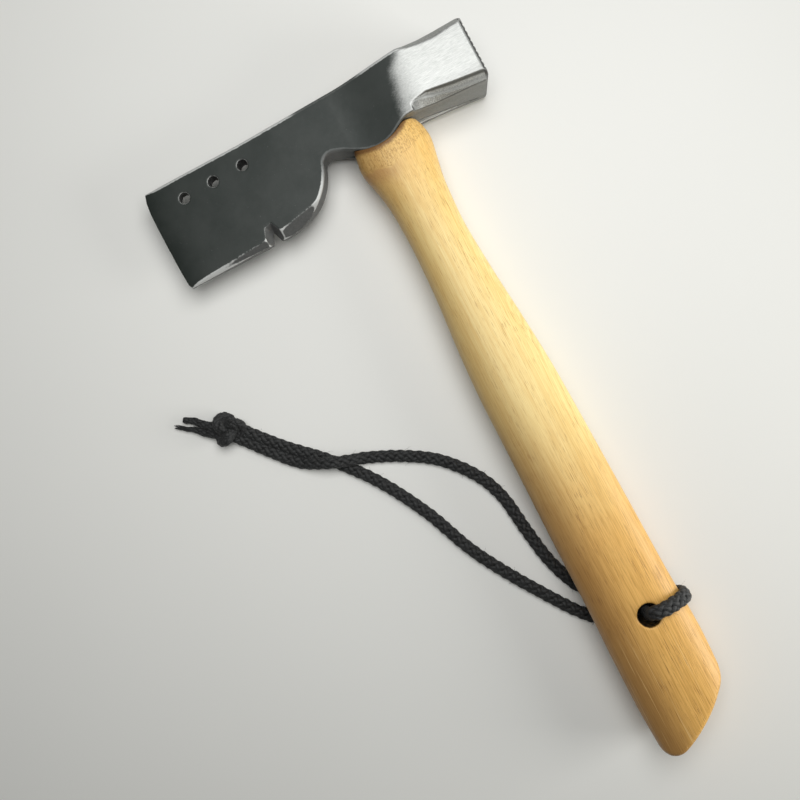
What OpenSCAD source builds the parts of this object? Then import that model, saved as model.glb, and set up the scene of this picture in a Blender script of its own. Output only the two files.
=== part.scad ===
// Roofing hatchet with a hickory handle and a braided wrist lanyard, lying on its side.
// -X points to the cutting edge, +X to the hammer face, +Y from the butt of the handle to the
// top of the head, and +Z up. The origin is under the middle of the tool, on the surface it lies on.

/* [Head] */
// Distance from the handle's axis to the cutting edge
blade_reach = 110; // [104:1:116]
// Distance from the handle's axis to the hammer face
poll_reach = 49.5; // [46:0.5:56]
// Height of the head above the shoulder of the handle
head_top = 27; // [25:0.5:31]
// How far the blade's lower edge hangs below the shoulder
blade_drop = 19.5; // [18.5:0.5:21]
// Thickness of the poll from side to side
poll_side = 29; // [28.5:0.5:30]
// Thickness of the blade just in front of the eye
neck_thickness = 14; // [12:0.5:16]
// Thickness left at the cutting edge
edge_thickness = 0.8; // [0.4:0.1:1.6]
// Depth of the flats ground off the long corners of the poll
poll_chamfer = 4; // [2:0.5:5]
// Distance between the grooves milled in the hammer face
mill_pitch = 2.5; // [2:0.25:4]

/* [Gauge holes] */
// Diameter of each gauge hole
gauge_d = 5; // [4:0.2:6]
// Distance from one gauge hole to the next
gauge_pitch = 15; // [12:0.5:17]
// Height of the row of holes above the shoulder
gauge_y = 18; // [12:0.5:20]

/* [Handle] */
// Length of the handle below the head, measured to the tip of the butt
handle_length = 293.5; // [288:0.5:306]
// Diameter of the lanyard hole
lanyard_hole_d = 10; // [8:0.5:10]
// How far the centre of the butt sits above the centre plane of the head
butt_rise = 0.8; // [0.6:0.1:1.5]

/* [Wedges] */
// Thickness of the wooden wedge at its top
wood_wedge_top = 3.4; // [2.4:0.2:4.4]
// Depth of the saw kerf that the wooden wedge fills
wood_wedge_depth = 22; // [16:1:24]
// Thickness of each steel wedge at its top
steel_wedge_top = 2.2; // [1.4:0.2:3]
// Depth to which the steel wedges are driven
steel_wedge_depth = 13; // [8:1:16]

/* [Lanyard] */
// Thickness of the braided cord
cord_d = 3.6; // [3:0.1:3.6]

/* [Hidden] */
poll_half = poll_side / 2;
neck_half = neck_thickness / 2;
edge_half = edge_thickness / 2;
butt_y = -handle_length;
// The top edge of the blade rises a little towards the cutting edge
tip_rise = 1.5;
tip_rise_from = -60;
// The middle of the tool in the plane it lies in
centre_x = (poll_reach - blade_reach) / 2;
centre_y = (head_top + tip_rise - handle_length) / 2;
// The sides bulge from the thin neck to the full poll between these two places
bulge_start = -16;
bulge_end = 24;
side_steps = 33;
// Close to the cutting edge the sides swell by this much over about this distance
edge_swell = 1.5;
edge_run = 5;
// The cutting edge is slightly bowed: how far it stands back from its full reach, by height
edge_bow = [[1.8, 28.5], [0.7, 25], [0.1, 20], [0, 13], [0.2, 2], [0.5, -9], [1, -17]];
// The beard is a round corner of this radius about this centre
beard_r = 30.9;
beard_x = -59.2;
beard_y = beard_r * sin(85) - blade_drop;
// The inside corner between beard and neck
neck_r = 4.6;
neck_x = -26;
neck_y = -1;
// The lobes that grip the shoulder of the handle are part of a circle
lobe_r = 17;
lobe_x = -4;
lobe_y = lobe_r - 5;
lobe_gap = 0.2;
slot_half = 7.2;
// Outline of the slot between the lobes, which narrows towards the blade
slot_front = [-22, 3.3];
slot_wide_from = -8;
// The eye is a small and a large round joined by straight walls
eye_front_x = -8;
eye_front_r = 3.2;
eye_rear_x = 6;
eye_rear_r = 7;
eye_play = 0.05;
// The nail slot is a narrow V whose walls flare towards both sides of the blade
slot_mouth = [-69, -60.4];
slot_tip = [-64.2, -14];
flare_mouth = [-71.6, -56];
flare_tip = [[-67, -11.2], [-63, -10.2]];
flare_z = 5;
slot_floor = -(blade_drop + 5.5);
// The lower edge is bevelled: a narrow bevel towards the edge, a wide one by the beard. Both
// start from a line at this height, where their cutters stand this far from the middle plane.
bevel_y = -21;
bevel_land = 0.8;
face_chamfer = 1.6;
underside_fall = 2.6;
lanyard_hole_at = [3.6, -234.6];
mill_depth = 0.7;
big = 400;

function ease(t) = t <= 0 ? 0 : t >= 1 ? 1 : t * t * (3 - 2 * t);
// Half the thickness of the head at a distance x from the handle's axis
function wedge_half(x) =
    let (out = max(0, x + blade_reach), run = blade_reach + bulge_start)
    edge_half + edge_swell * (1 - exp(-out / edge_run))
    + (neck_half - edge_half - edge_swell) * min(1, out / run);
function side_half(x) =
    let (w = wedge_half(x))
    w + (poll_half - w) * ease((x - bulge_start) / (bulge_end - bulge_start));
function arc(cx, cy, r, from, to, steps) =
    [for (i = [0:steps]) let (a = from + (to - from) * i / steps) [cx + r * cos(a), cy + r * sin(a)]];

// Every node is drawn about the handle's axis and set down on the surface here
module place() {
    translate([-centre_x, -centre_y, poll_half]) children();
}

// Outline of the head seen from its side
module head_outline() {
    polygon(concat(
        [for (e = edge_bow) [e[0] - blade_reach, min(e[1], head_top + tip_rise)]],
        [[2 - blade_reach, 0.4 - blade_drop], [-67, -blade_drop]],
        arc(beard_x, beard_y, beard_r, -95, -20.3, 14),
        arc(neck_x, neck_y, neck_r, 159.7, 68.4, 8),
        [[-16, 0], [18, 0], [poll_reach, -underside_fall]],
        [[poll_reach, head_top], [tip_rise_from, head_top]]
    ));
}

// Outline of the head seen along the handle: a wedge that swells into the square poll
module head_section() {
    step = (blade_reach + bulge_end) / side_steps;
    xs = concat([for (i = [0:side_steps]) i * step - blade_reach], [poll_reach]);
    polygon(concat(
        [for (x = xs) [x, side_half(x)]],
        [for (i = [len(xs) - 1:-1:0]) [xs[i], -side_half(xs[i])]]
    ));
}

module head_section_solid() {
    rotate([90, 0, 0])
        linear_extrude(height = big, center = true)
            head_section();
}

// Outline of the eye, seen along the handle
module eye_outline(play) {
    hull() {
        translate([eye_front_x, 0]) circle(r = eye_front_r - play, $fn = 48);
        translate([eye_rear_x, 0]) circle(r = eye_rear_r - play, $fn = 64);
    }
}

// The eye as a solid from y0 to y1
module eye_solid(y0, y1, play) {
    translate([0, y1, 0])
        rotate([90, 0, 0])
            linear_extrude(height = y1 - y0)
                eye_outline(play);
}

// What lies between the lobes: a slab that narrows towards the blade
module lobe_slot(tall, play) {
    half = slot_half - play;
    front = slot_front[1] - play;
    rotate([90, 0, 0])
        linear_extrude(height = tall, center = true)
            polygon([
                [slot_front[0], front], [slot_wide_from, half], [40, half],
                [40, -half], [slot_wide_from, -half], [slot_front[0], -front]
            ]);
}

// A long triangular cutter along X with its edge on the lower rim of the blade
module bevel_cutter(x0, x1, land, rise, turn) {
    for (side = [0, 1])
        mirror([0, 0, side])
            translate([x0, bevel_y, land])
                rotate([0, 0, turn])
                    rotate([90, 0, 90])
                        linear_extrude(height = x1 - x0)
                            polygon([[-10, -10 * rise], [10, 10 * rise], [-10, 14]]);
}

module nail_slot() {
    mid = [[slot_mouth[0], slot_floor], [slot_tip[0], slot_tip[1]], [slot_mouth[1], slot_floor]];
    wide = concat([[flare_mouth[0], slot_floor]], flare_tip, [[flare_mouth[1], slot_floor]]);
    linear_extrude(height = big, center = true)
        polygon(mid);
    for (side = [-1, 1])
        hull() {
            translate([0, 0, side * 0.3 - 0.05]) linear_extrude(height = 0.1) polygon(mid);
            translate([0, 0, side * flare_z - 0.05]) linear_extrude(height = 0.1) polygon(wide);
        }
}

// A long cutter for one corner of the poll. Each station gives its distance along the poll, the
// height of the corner, and how far the flat reaches down the side and in from the side.
module corner_cutter(stations) {
    points = [
        for (s = stations)
            let (z = side_half(s[0]), a = [s[0], s[1] + s[2], z], b = [s[0], s[1], z - s[3]])
            each [a + 0.4 * (a - b), b + 0.4 * (b - a), [s[0], s[1] - s[2], z + s[3]]]
    ];
    polyhedron(points = points, faces = tube_faces(len(stations), 3));
}

// Width and depth of the flats along the poll, as shares of poll_chamfer: those along the top
// bow outwards in the middle, those below start in a scoop beside the cheeks
top_flats = [[18.5, 0.03, 0.03], [23, 0.5, 0.6], [29, 0.8, 0.95], [36, 0.95, 1], [43, 0.78, 0.9]];
low_flats = [
    [12.5, 0.25, 0.03], [15, 0.8, 0.6], [19, 1.45, 1], [25.5, 1.6, 1.05], [31.5, 1.45, 1.05],
    [43, 1.02, 1]
];

module poll_chamfers() {
    fall = underside_fall / (poll_reach - 18);
    depth = poll_chamfer;
    for (side = [0, 1])
        mirror([0, 0, side]) {
            corner_cutter([
                for (f = top_flats) [f[0], head_top, -f[1] * depth, f[2] * depth],
                [poll_reach + 1, head_top, -0.66 * depth, 0.8 * depth]
            ]);
            mirror([0, 1, 0])
                corner_cutter([
                    for (f = low_flats) [f[0], fall * max(0, f[0] - 18), -f[1] * depth, f[2] * depth],
                    [poll_reach + 1, underside_fall + fall, -0.9 * depth, depth]
                ]);
        }
}

// The rim of the hammer face is broken on all four sides
module face_rim() {
    for (side = [-1, 1])
        translate([poll_reach, 0, side * poll_half])
            rotate([0, 45, 0])
                cube([face_chamfer * sqrt(2), big, face_chamfer * sqrt(2)], center = true);
    for (y = [-underside_fall, head_top])
        translate([poll_reach, y, 0])
            rotate([0, 0, 45])
                cube([face_chamfer * sqrt(2), face_chamfer * sqrt(2), big], center = true);
}

// Crossing V grooves milled into the hammer face
module milling() {
    middle = (head_top - underside_fall) / 2;
    count = floor((poll_side / 2 - 2.5) / mill_pitch);
    for (i = [-count:count]) {
        translate([poll_reach, middle, i * mill_pitch])
            rotate([0, 45, 0])
                cube([mill_depth * sqrt(2), big, mill_depth * sqrt(2)], center = true);
        translate([poll_reach, middle + i * mill_pitch, 0])
            rotate([0, 0, 45])
                cube([mill_depth * sqrt(2), mill_depth * sqrt(2), big], center = true);
    }
}

module head() {
    color([0.30, 0.31, 0.31])
        place()
            difference() {
                union() {
                    intersection() {
                        linear_extrude(height = poll_side + 2, center = true) head_outline();
                        head_section_solid();
                    }
                    difference() {
                        intersection() {
                            translate([lobe_x, lobe_y, 0])
                                cylinder(r = lobe_r, h = poll_side, center = true, $fn = 96);
                            head_section_solid();
                        }
                        translate([0, -lobe_r, 0]) lobe_slot(2 * lobe_r, 0);
                        translate([lobe_x, head_top + lobe_r, 0])
                            cube([3 * lobe_r, 2 * lobe_r, 2 * poll_side], center = true);
                    }
                }
                eye_solid(-big / 4, big / 4, 0);
                for (i = [0:2])
                    translate([-62.5 - i * gauge_pitch, gauge_y, 0])
                        cylinder(d = gauge_d, h = big, center = true, $fn = 48);
                nail_slot();
                bevel_cutter(-120, -64, bevel_land - 0.96, 0.78, -1.7);
                bevel_cutter(-64, -20, bevel_land, 0.8, 5.8);
                poll_chamfers();
                face_rim();
                milling();
            }
}

// Stations down the handle: distance below the shoulder, left and right edge, half thickness
handle_stations = [
    [0, -16.3, 14.4, 11.6],
    [4, -16.9, 16, 12],
    [9, -17.5, 16.8, 12.2],
    [13, -17.1, 16.5, 12.1],
    [19, -15.6, 15.4, 11.6],
    [28, -13.9, 13.8, 10.8],
    [38, -13.2, 13, 10.4],
    [52, -13, 12.6, 10.2],
    [75, -13.9, 14, 10.3],
    [99, -15.9, 16.1, 10.7],
    [122, -17.1, 17.7, 11.1],
    [144, -17.3, 18.4, 11.3],
    [166, -17.5, 18.9, 11.4],
    [195, -17.8, 19.5, 11.5],
    [225, -17.8, 20.1, 11.5],
    [250, -18.3, 21.2, 11.4],
    [handle_length + 10, -18.4, 21.6, 11.2]
];
// Squareness of the oval: 2 is an ellipse
oval_power = 2.3;
oval_sides = 32;

function spline(a, b, c, d, t) =
    0.5 * (2 * b + (c - a) * t + (2 * a - 5 * b + 4 * c - d) * t * t + (3 * b - a - 3 * c + d) * t * t * t);
function station(i) = handle_stations[max(0, min(len(handle_stations) - 1, i))];
function handle_at(s, t) = spline(station(s - 1), station(s), station(s + 1), station(s + 2), t);
function root(v) = sign(v) * pow(abs(v), 2 / oval_power);
function handle_ring(s) = [
    for (i = [0:oval_sides - 1])
        let (a = 360 * i / oval_sides)
        [
            (s[1] + s[2]) / 2 + (s[2] - s[1]) / 2 * root(cos(a)),
            -s[0],
            s[3] * root(sin(a)) + butt_rise * s[0] / handle_length
        ]
];
// Faces of a closed tube made of a number of rings with the same number of sides
function tube_faces(rings, sides) = concat(
    [[for (i = [0:sides - 1]) i]],
    [for (r = [0:rings - 2], i = [0:sides - 1])
        let (j = (i + 1) % sides, a = r * sides, b = a + sides)
        each [[a + i, b + i, b + j], [a + i, b + j, a + j]]],
    [[for (i = [sides - 1:-1:0]) (rings - 1) * sides + i]]
);

module handle_blank() {
    steps = 3;
    last = len(handle_stations) - 2;
    stations = concat(
        [for (s = [0:last], k = [0:steps - 1]) handle_at(s, k / steps)],
        [station(last + 1)]
    );
    rings = [for (s = stations) handle_ring(s)];
    polyhedron(points = [for (r = rings, p = r) p], faces = tube_faces(len(rings), oval_sides));
}

// The butt is cut off at a slant, with a large round at the back and a small one at the tip
module butt_outline() {
    polygon(concat(
        [[26, 10], [26, butt_y + 50], [21.3, butt_y + 40]],
        arc(8, butt_y + 28.6, 13.3, 0, -50, 8),
        arc(-55.8, butt_y + 94.8, 105, -48, -63.4, 6),
        arc(-12.8, butt_y + 9, 9, -68, -90, 3),
        arc(-13, butt_y + 5.2, 5.2, -100, -180, 8),
        [[-18.3, butt_y + 40], [-26, butt_y + 50], [-26, 10]]
    ));
}

module lanyard_hole() {
    translate(lanyard_hole_at)
        cylinder(d = lanyard_hole_d, h = big, center = true, $fn = 48);
}

module wood_wedge_blank() {
    top = head_top - 0.2;
    translate([-20, 0, 0])
        rotate([90, 0, 90])
            linear_extrude(height = 40)
                polygon([
                    [top, wood_wedge_top / 2],
                    [top - wood_wedge_depth, 0.4],
                    [top - wood_wedge_depth, -0.4],
                    [top, -wood_wedge_top / 2]
                ]);
}

module steel_wedge_blanks() {
    top = head_top - 0.2;
    for (wedge = [[-3, 6], [6, 10]])
        translate([wedge[0], 0, -wedge[1] / 2])
            linear_extrude(height = wedge[1])
                polygon([
                    [steel_wedge_top / 2, top],
                    [0.25, top - steel_wedge_depth],
                    [-0.25, top - steel_wedge_depth],
                    [-steel_wedge_top / 2, top]
                ]);
}

module handle() {
    color([0.85, 0.66, 0.36])
        place()
            difference() {
                union() {
                    intersection() {
                        handle_blank();
                        linear_extrude(height = 60, center = true) butt_outline();
                    }
                    eye_solid(-4, head_top - 0.2, eye_play);
                }
                difference() {
                    translate([lobe_x, lobe_y, 0])
                        cylinder(r = lobe_r + lobe_gap, h = big, center = true, $fn = 96);
                    lobe_slot(big, lobe_gap);
                }
                wood_wedge_blank();
                steel_wedge_blanks();
                lanyard_hole();
            }
}

module wooden_wedge() {
    color([0.80, 0.62, 0.38])
        place()
            difference() {
                intersection() {
                    wood_wedge_blank();
                    eye_solid(-1, head_top - 0.2, eye_play);
                }
                steel_wedge_blanks();
            }
}

module steel_wedges() {
    color([0.45, 0.46, 0.47]) place() steel_wedge_blanks();
}

// The cord's route from the knot along the table, under the handle, round its right side, down
// through the lanyard hole and back along the table, over the first run, to the knot. Each point is
// measured from the handle's axis and shoulder, and its height from the surface the tool lies on.
cord_route = [
    [-121.5, -83, 3],
    [-106.5, -100, 1.8],
    [-90, -116, 1.8],
    [-74.5, -135, 1.8],
    [-61.5, -157.5, 1.8],
    [-50.5, -183, 1.8],
    [-34, -209.5, 1.8],
    [-16, -232.5, 1.8],
    [1, -238, 1.8],
    [16, -236.8, 4.4],
    [21, -236.2, 9],
    [22.5, -235.6, 15.3],
    [21, -235, 21.6],
    [15.5, -234.6, 26.4],
    [9.5, -234.3, 28.6],
    [5.2, -234, 28],
    [3.5, -234, 24.5],
    [3.4, -234, 14],
    [3.4, -234, 6.5],
    [2, -233, 2.8],
    [-3, -229.5, 1.8],
    [-10, -223.5, 1.8],
    [-17, -215.5, 1.8],
    [-22.5, -201, 1.8],
    [-25.5, -184, 1.8],
    [-28, -166, 1.8],
    [-34, -152, 1.8],
    [-45.5, -138.5, 1.8],
    [-59, -129.5, 1.8],
    [-74, -122.5, 1.8],
    [-82, -119.8, 4.2],
    [-89, -117.2, 5.8],
    [-96, -114.2, 4.6],
    [-104, -109.5, 1.8],
    [-112.5, -100.3, 1.8],
    [-121.5, -89.6, 1.8],
    [-124.5, -86, 3]
];
tail_routes = [
    [[-128, -78.5, 4], [-135.5, -73, 2.2], [-143, -67.8, 1.8]],
    [[-129, -82, 4], [-138, -76.5, 1.9], [-147.5, -69.5, 1.8]]
];
cord_sides = 8;

function route_point(route, i) = route[max(0, min(len(route) - 1, i))];
function route_at(route, i, t) = spline(
    route_point(route, i - 1), route_point(route, i), route_point(route, i + 1), route_point(route, i + 2), t);
function unit(v) = v / norm(v);
function lay(p) = [p[0], p[1], max(p[2], cord_d / 2)];
// The points of the route with a number of extra points between each pair, all above the surface
function smooth(route, steps) = concat(
    [for (i = [0:len(route) - 2], k = [0:steps - 1]) lay(route_at(route, i, k / steps))],
    [route[len(route) - 1]]
);
function tangent(path, i) = unit(path[min(len(path) - 1, i + 1)] - path[max(0, i - 1)]);
// A direction square to the path that turns with it as little as it can
function carry(side, t) = unit(side - (side * t) * t);
function frames(path, i, side) =
    i >= len(path) ? [] :
    let (t = tangent(path, i), n = carry(side, t))
    concat([[n, cross(t, n)]], frames(path, i + 1, n));

module tube(path) {
    f = frames(path, 0, [0, 0, 1]);
    points = [
        for (i = [0:len(path) - 1], k = [0:cord_sides - 1])
            let (a = 360 * (k + 0.5) / cord_sides)
            path[i] + cord_d / 2 * (cos(a) * f[i][0] + sin(a) * f[i][1])
    ];
    translate([-centre_x, -centre_y, 0])
        polyhedron(points = points, faces = tube_faces(len(path), cord_sides));
}

module lanyard_cord() {
    color([0.07, 0.07, 0.08]) tube(smooth(cord_route, 2));
}

// The overhand knot that closes the loop
module lanyard_knot() {
    color([0.07, 0.07, 0.08])
        translate([-centre_x, -centre_y, 0])
            hull() {
                translate([-129.5, -79.5, 4.6]) sphere(r = 4.6, $fn = 24);
                translate([-122.5, -80.5, 5.2]) sphere(r = 5.2, $fn = 24);
                translate([-126, -83.5, 4.8]) sphere(r = 4.8, $fn = 24);
            }
}

// The two cut ends of the cord beyond the knot
module lanyard_tails() {
    color([0.07, 0.07, 0.08])
        for (route = tail_routes)
            tube(smooth(route, 1));
}

head();
handle();
wooden_wedge();
steel_wedges();
lanyard_cord();
lanyard_knot();
lanyard_tails();
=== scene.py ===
import math

import bpy
import numpy as np
from mathutils import Matrix, Vector


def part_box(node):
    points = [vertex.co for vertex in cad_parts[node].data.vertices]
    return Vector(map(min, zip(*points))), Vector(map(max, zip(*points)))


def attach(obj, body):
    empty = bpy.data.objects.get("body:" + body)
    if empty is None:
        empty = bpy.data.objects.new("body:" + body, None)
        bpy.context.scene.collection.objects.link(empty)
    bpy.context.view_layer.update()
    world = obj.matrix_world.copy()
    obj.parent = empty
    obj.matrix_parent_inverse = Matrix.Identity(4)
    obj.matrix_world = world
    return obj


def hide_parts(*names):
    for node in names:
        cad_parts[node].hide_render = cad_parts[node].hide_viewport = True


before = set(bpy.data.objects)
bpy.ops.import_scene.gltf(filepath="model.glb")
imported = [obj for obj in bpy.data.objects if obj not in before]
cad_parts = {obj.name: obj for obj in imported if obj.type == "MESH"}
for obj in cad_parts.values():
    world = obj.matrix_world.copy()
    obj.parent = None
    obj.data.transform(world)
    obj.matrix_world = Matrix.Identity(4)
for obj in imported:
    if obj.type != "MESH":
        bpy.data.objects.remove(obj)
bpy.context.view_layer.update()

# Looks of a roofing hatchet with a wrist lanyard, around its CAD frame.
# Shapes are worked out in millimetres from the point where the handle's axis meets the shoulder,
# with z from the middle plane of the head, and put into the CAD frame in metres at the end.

MM = 0.001
ROOT2 = math.sqrt(2)

# ---------------------------------------------------------------- sizes, in millimetres
# The blade points towards -x and the poll towards +x
BLADE_REACH = 110.0
BLADE_DROP = 19.5
POLL_REACH = 49.5
POLL_HALF = 14.5
HEAD_TOP = 27.0
TIP_RISE = 1.5
# The underside of the poll falls by this much from here to the face
UNDERSIDE_FROM = 18.0
UNDERSIDE_FALL = 2.6
# Half thickness of the blade at its edge, and what it gains close to the edge and up to its root
EDGE_HALF = 0.4
EDGE_GAIN = 1.5
EDGE_TAPER = 5.0
BODY_GAIN = 5.1
ROOT_X = -16.0
# Over this length from its root the blade thickens into the poll
ROOT_LONG = 40.0
BEVEL_Y = -21.0
BEARD_R = 30.9
BEARD_AT = (-59.2, BEARD_R * math.sin(math.radians(85)) - BLADE_DROP)
THROAT_R = 4.6
THROAT_AT = (-26.0, -1.0)
FACE_CHAMFER = 1.6
MILL_PITCH = 2.5
MILL_DEPTH = 0.7
MILL_MIDDLE = (HEAD_TOP - UNDERSIDE_FALL) / 2
GAUGE_R = 2.5
GAUGE_AT = (-62.5, 18.0)
GAUGE_STEP = 15.0
LOBE_AT = (-4.0, 12.0)
LOBE_R = 17.0
LOBE_IN = 7.2
# Middle and radius of the two rounds of the eye
EYE_FRONT = (-8.0, 3.2)
EYE_REAR = (6.0, 7.0)
HANDLE_LENGTH = 293.5
# The middle of the butt lies this much higher than the middle of the head
BUTT_LIFT = 0.8
HOLE_AT = (3.6, -234.6)
HOLE_R = 5.0
CORD_WIDE = 5.5
CORD_THIN = 3.3
# Loose strands stay this far above the table
TABLE_GAP = 0.08

head_low, head_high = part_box("head")
# Where the design's zero point lies in the CAD frame
ZERO = np.array([
    head_high.x / MM - POLL_REACH,
    head_high.y / MM - HEAD_TOP - TIP_RISE,
    (head_low.z + head_high.z) / 2 / MM,
])


# ---------------------------------------------------------------- camera
def make_camera():
    """Looks almost straight down, with the handle running to the lower right."""
    place = Vector((0.00345, 0.01251, 0.379))
    target = Vector((-0.01904, 0.02674, 0.0))
    top_of_view = Vector((0.4604, 0.8877, 0.006))
    ahead = (target - place).normalized()
    right = ahead.cross(top_of_view).normalized()
    up = right.cross(ahead)
    data = bpy.data.cameras.new("camera")
    data.sensor_width = 36
    data.lens = 37.3
    data.clip_start = 0.01
    camera = bpy.data.objects.new("camera", data)
    bpy.context.scene.collection.objects.link(camera)
    turn = Matrix((right, up, -ahead)).transposed().to_4x4()
    camera.matrix_world = Matrix.Translation(place) @ turn
    bpy.context.scene.camera = camera


# ---------------------------------------------------------------- meshes
def make_object(name, points, faces, material):
    """A smooth-shaded mesh piece from points in design millimetres."""
    mesh = bpy.data.meshes.new(name)
    places = (np.asarray(points, float) + ZERO) * MM
    mesh.from_pydata(places.tolist(), [], [list(f) for f in faces])
    mesh.polygons.foreach_set("use_smooth", [True] * len(mesh.polygons))
    mesh.materials.append(material)
    mesh.update()
    piece = bpy.data.objects.new(name, mesh)
    bpy.context.scene.collection.objects.link(piece)
    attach(piece, "root")
    return piece


def unit(v):
    """Vectors of length 1 with the directions of v."""
    return v / np.maximum(np.linalg.norm(v, axis=-1, keepdims=True), 1e-9)


def join(parts):
    """One list of points and faces from several."""
    points, faces, start = [], [], 0
    for p, f in parts:
        points.append(p)
        faces += [[i + start for i in face] for face in f]
        start += len(p)
    return np.concatenate(points), faces


def sweep(centres, wide, thin, sides):
    """A closed tube whose rings are ellipses with the half axes wide and thin at each centre."""
    a = 2 * np.pi * np.arange(sides) / sides
    rings = centres[:, None] + np.cos(a)[:, None] * wide[:, None] + np.sin(a)[:, None] * thin[:, None]
    count = len(centres)
    i, k = np.meshgrid(np.arange(count - 1), np.arange(sides), indexing="ij")
    j = (k + 1) % sides
    faces = np.stack([i * sides + k, i * sides + j, (i + 1) * sides + j, (i + 1) * sides + k], -1)
    faces = faces.reshape(-1, 4).tolist()
    faces.append(list(range(sides))[::-1])
    faces.append([(count - 1) * sides + n for n in range(sides)])
    return rings.reshape(-1, 3), faces


# ---------------------------------------------------------------- outlines and distance fields
def arc(cx, cy, r, start, end, steps):
    """Points along an arc, with its angles in degrees."""
    a = np.radians(np.linspace(start, end, steps + 1))
    return list(zip(cx + r * np.cos(a), cy + r * np.sin(a)))


def curve_through(points, steps):
    """A smooth line through points, with a number of steps between each two."""
    p = np.asarray(points, float)
    p = np.concatenate([p[:1], p, p[-1:]])
    a, b, c, d = p[:-3, None], p[1:-2, None], p[2:-1, None], p[3:, None]
    t = (np.arange(steps) / steps)[None, :, None]
    line = 0.5 * (
        2 * b + (c - a) * t + (2 * a - 5 * b + 4 * c - d) * t ** 2 + (3 * b - a - 3 * c + d) * t ** 3
    )
    return np.concatenate([line.reshape(-1, p.shape[1]), p[-1:]])


def ease(t):
    """0 to 1 with a soft start and end."""
    t = np.clip(t, 0, 1)
    return t * t * (3 - 2 * t)


def round_and(a, b, r):
    """What is inside both shapes, with the edge between them rounded."""
    return np.minimum(np.maximum(a, b), -r) + np.hypot(np.maximum(a + r, 0), np.maximum(b + r, 0))


def round_or(a, b, r):
    """What is inside either shape, with the corner between them filled."""
    return np.maximum(np.minimum(a, b), r) - np.hypot(np.maximum(r - a, 0), np.maximum(r - b, 0))


def polygon_distance(x, y, outline):
    """Signed distance to a closed outline, negative inside."""
    best = np.full(np.broadcast(x, y).shape, 1e9)
    inside = np.zeros(best.shape, bool)
    for (ax, ay), (bx, by) in zip(outline, np.roll(outline, -1, axis=0)):
        ex, ey = bx - ax, by - ay
        t = np.clip(((x - ax) * ex + (y - ay) * ey) / (ex * ex + ey * ey), 0, 1)
        best = np.minimum(best, (x - ax - t * ex) ** 2 + (y - ay - t * ey) ** 2)
        if ey:
            inside ^= ((ay > y) != (by > y)) & (x < ax + (y - ay) * ex / ey)
    return np.where(inside, -1, 1) * np.sqrt(best)


def surface(shape, xs, ys, zs, passes=3):
    """Quads on the zero level of a distance field: one point in each grid cell that it crosses."""
    axes = (xs, ys, zs)
    field = shape(xs[:, None, None], ys[None, :, None], zs[None, None, :])
    cells = np.array(field.shape)
    spots, quads = [], []
    for axis in range(3):
        u, v = (axis + 1) % 3, (axis + 2) % 3
        low = np.moveaxis(field, axis, 0)[:-1]
        high = np.moveaxis(field, axis, 0)[1:]
        crossed = np.moveaxis((low < 0) != (high < 0), 0, axis)
        where = np.argwhere(crossed)
        a = np.moveaxis(low, 0, axis)[crossed]
        b = np.moveaxis(high, 0, axis)[crossed]
        spot = np.stack([axes[k][where[:, k]] for k in range(3)], 1)
        step = axes[axis][where[:, axis] + 1] - axes[axis][where[:, axis]]
        spot[:, axis] += a / (a - b) * step
        corners = []
        for du, dv in ((0, 0), (1, 0), (1, 1), (0, 1)):
            cell = where.copy()
            cell[:, u] -= du
            cell[:, v] -= dv
            corners.append(np.ravel_multi_index(cell.T, cells))
        quad = np.stack(corners, 1)
        quad[a > 0] = quad[a > 0][:, ::-1]
        spots.append(spot)
        quads.append(quad)
    spots, quads = np.concatenate(spots), np.concatenate(quads)
    index = np.unique(quads.ravel(), return_inverse=True)[1]
    index = index.reshape(-1)
    count = np.bincount(index)
    points = np.stack([np.bincount(index, np.repeat(spots[:, k], 4)) / count for k in range(3)], 1)
    return settle(shape, points, passes), index.reshape(-1, 4).tolist()


def settle(shape, points, passes, probe=0.01, furthest=0.3):
    """Moves points along the slope of a distance field until they lie on its zero level."""
    for _ in range(passes):
        here = shape(*points.T)
        slope = np.stack([(shape(*(points + probe * way).T) - here) / probe for way in np.eye(3)], 1)
        size = np.maximum((slope ** 2).sum(1), 0.25)
        points -= np.clip(here / size, -furthest, furthest)[:, None] * slope
    return points


# ---------------------------------------------------------------- head
# How far the cutting edge lies back at each height
EDGE_BOW = [(1.8, 28.5), (0.7, 25), (0.1, 20), (0, 13), (0.2, 2), (0.5, -9), (1, -17)]
HEAD_OUTLINE = np.array(
    [(back - BLADE_REACH, y) for back, y in EDGE_BOW]
    + [(2 - BLADE_REACH, 0.4 - BLADE_DROP), (-67, -BLADE_DROP)]
    + arc(*BEARD_AT, BEARD_R, -95, -20.3, 24)
    + arc(*THROAT_AT, THROAT_R, 159.7, 68.4, 12)
    + [(ROOT_X, 0), (UNDERSIDE_FROM, 0), (POLL_REACH, -UNDERSIDE_FALL)]
    + [(POLL_REACH, HEAD_TOP), (-60, HEAD_TOP)]
)
# Mouth, tip and mouth again of the nail slot, in the middle of the blade and where it is widest
SLOT_NARROW = np.array([(-69, -25), (-64.2, -14), (-60.4, -25)])
SLOT_FLARED = np.array([(-71.6, -25), (-67, -11.2), (-63, -10.2), (-56, -25)])
# The slot's walls flare between these distances from the middle plane
SLOT_FLARE = (0.3, 5.0)
# Along the poll: how far each cut reaches down or up, and in from the side
TOP_FLATS = [
    (18.5, 0.1, 0.1), (23, 2, 2.4), (29, 3.2, 3.8), (36, 3.8, 4), (43, 3.1, 3.6), (50.5, 2.6, 3.2),
]
LOW_HOLLOWS = [
    (14.5, 0.2, 0.1), (17.4, 0.8, 0.8), (19.8, 1.6, 1.8), (22, 2.4, 2.6), (25, 2.6, 3.2),
    (34, 2.8, 3.8), (43, 3.1, 4), (50.5, 3.2, 4.2),
]
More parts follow.
